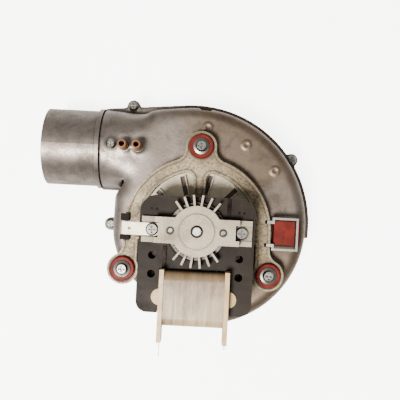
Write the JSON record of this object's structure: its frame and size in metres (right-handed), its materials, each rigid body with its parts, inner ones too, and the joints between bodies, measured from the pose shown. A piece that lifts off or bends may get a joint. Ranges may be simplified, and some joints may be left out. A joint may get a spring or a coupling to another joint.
{
  "type": "boiler exhaust fan with motor",
  "caption": "Centrifugal flue-gas fan: cast scroll housing with round outlet spigot, radial wheel inside, and a shaded-pole motor on a rubber-mounted three-point bracket.",
  "frame": {"origin": "centre of the round air inlet, where the motor shaft's axis crosses the housing's flat back face", "axes": "+Z along the motor shaft from the housing towards the motor; -X along the outlet spigot towards the flue; +Y from the shaft towards the spigot's side"},
  "size_m": [0.2088, 0.183, 0.1235],
  "materials": {
    "housing_cast": "die-cast aluminium, shot-blasted, faintly stained",
    "bracket_cast": "die-cast alloy with a grainy cream-grey skin",
    "bracket_cast_fine": "pale die-cast alloy, fine grain",
    "gasket": "compressed fibre gasket",
    "zinc_screw": "bright zinc-plated steel",
    "zinc_sheet": "zinc-plated sheet steel",
    "sponge_rubber": "black sponge rubber",
    "tap_plastic": "tan moulded plastic",
    "graphite_seal": "graphite-filled seal washer",
    "sintered_bronze": "oil-impregnated sintered bronze",
    "oil_felt": "oil-soaked felt",
    "red_silicone": "brick-red silicone rubber",
    "laminated_steel": "stacked electrical steel, dull",
    "copper": "bare copper strip",
    "bobbin_nylon": "ivory glass-filled nylon",
    "enamelled_wire": "enamelled copper wire",
    "cream_tape": "glossy cream polyester tape",
    "tinned_brass": "tinned brass blade",
    "ground_steel": "ground steel shaft",
    "rotor_aluminium": "cast aluminium end rings",
    "washer_nylon": "black nylon washer",
    "fan_sheet": "dark phosphated sheet steel",
    "wheel_sheet": "pressed aluminium sheet",
    "wheel_hub_metal": "turned steel hub"
  },
  "bodies": {
    "frame": {"back_shell": "housing_cast", "front_shell": "housing_cast", "housing_gasket": "gasket", "housing_screws": "zinc_screw", "inlet_seal": "sponge_rubber", "pressure_tap_1": "tap_plastic", "pressure_tap_2": "tap_plastic", "shaft_seal": "graphite_seal", "seal_plate": "zinc_sheet", "seal_rivets": "zinc_screw", "spider_bracket": "bracket_cast", "rear_bearing": "sintered_bronze", "front_bearing": "sintered_bronze", "rear_bearing_felt": "oil_felt", "front_bearing_felt": "oil_felt", "grommet_1": "red_silicone", "grommet_2": "red_silicone", "grommet_3": "red_silicone", "grommet_sleeves": "zinc_sheet", "grommet_screws": "zinc_screw", "stator_stack": "laminated_steel", "coil_core": "laminated_steel", "shading_rings": "copper", "bobbin": "bobbin_nylon", "winding": "enamelled_wire", "winding_tape": "cream_tape", "terminal_blade_left": "tinned_brass", "terminal_blade_right": "tinned_brass", "front_bearing_bracket": "bracket_cast_fine", "bearing_keeper": "zinc_sheet", "keeper_rivets": "zinc_screw", "earth_tab": "tinned_brass", "motor_screw_left": "zinc_screw", "motor_screw_right": "zinc_screw", "stator_spacers": "zinc_sheet", "cable_clip": "zinc_sheet", "cable_sleeve": "red_silicone"},
    "rotor": {"shaft": "ground_steel", "rotor_core": "laminated_steel", "rotor_end_rings": "rotor_aluminium", "front_thrust_washer": "washer_nylon", "rear_thrust_washer": "washer_nylon", "cooling_disc": "fan_sheet", "cooling_disc_hub": "fan_sheet", "wheel_back_plate": "wheel_sheet", "wheel_hub": "wheel_hub_metal", "wheel_inlet_ring": "wheel_sheet", "wheel_nut": "zinc_screw", "wheel_blades": "wheel_sheet"}
  },
  "joints": [
    {"name": "shaft_spin", "type": "hinge", "parent": "frame", "child": "rotor", "pos_m": [0, 0, 0.09], "axis": [0, 0, 1], "continuous": true}
  ]
}
